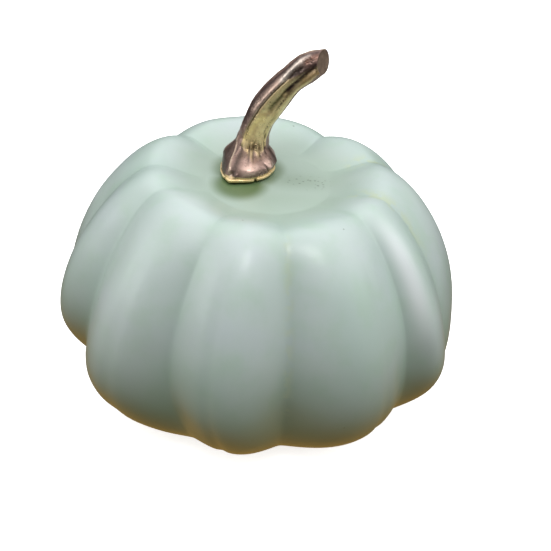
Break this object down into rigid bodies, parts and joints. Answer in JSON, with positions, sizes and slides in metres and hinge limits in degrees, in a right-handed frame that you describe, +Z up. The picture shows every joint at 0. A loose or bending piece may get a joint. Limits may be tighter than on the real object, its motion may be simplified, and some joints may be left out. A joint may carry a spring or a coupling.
{
  "type": "decorative pumpkin figure",
  "caption": "Hollow glazed ceramic pumpkin with rounded lobes and a curved cast metal stalk bolted into the well on top; stands on felt pads.",
  "frame": {"origin": "on the table, under the middle of the figure's outline", "axes": "+Z up, -Y to the front, the stalk leans towards +X"},
  "size_m": [0.149, 0.1543, 0.1196],
  "materials": {
    "celadon_glaze": "satin celadon glaze, pale sage green, darker and greener where it pools in the grooves",
    "antique_gold": "plated casting in antique gold and rose bronze with dark patina in the creases",
    "zinc_steel": "zinc-plated fasteners",
    "black_rubber": "matt black rubber",
    "silicone": "translucent soft silicone",
    "felt": "pressed wool felt"
  },
  "bodies": {
    "root": {"body_shell": "celadon_glaze", "stem": "antique_gold", "stem_stud": "zinc_steel", "seat_gasket": "black_rubber", "rubber_washer": "black_rubber", "steel_washer": "zinc_steel", "spring_washer": "zinc_steel", "hex_nut": "zinc_steel", "base_stopper": "silicone", "felt_pad_1": "felt", "felt_pad_2": "felt", "felt_pad_3": "felt", "felt_pad_4": "felt"}
  },
  "joints": []
}
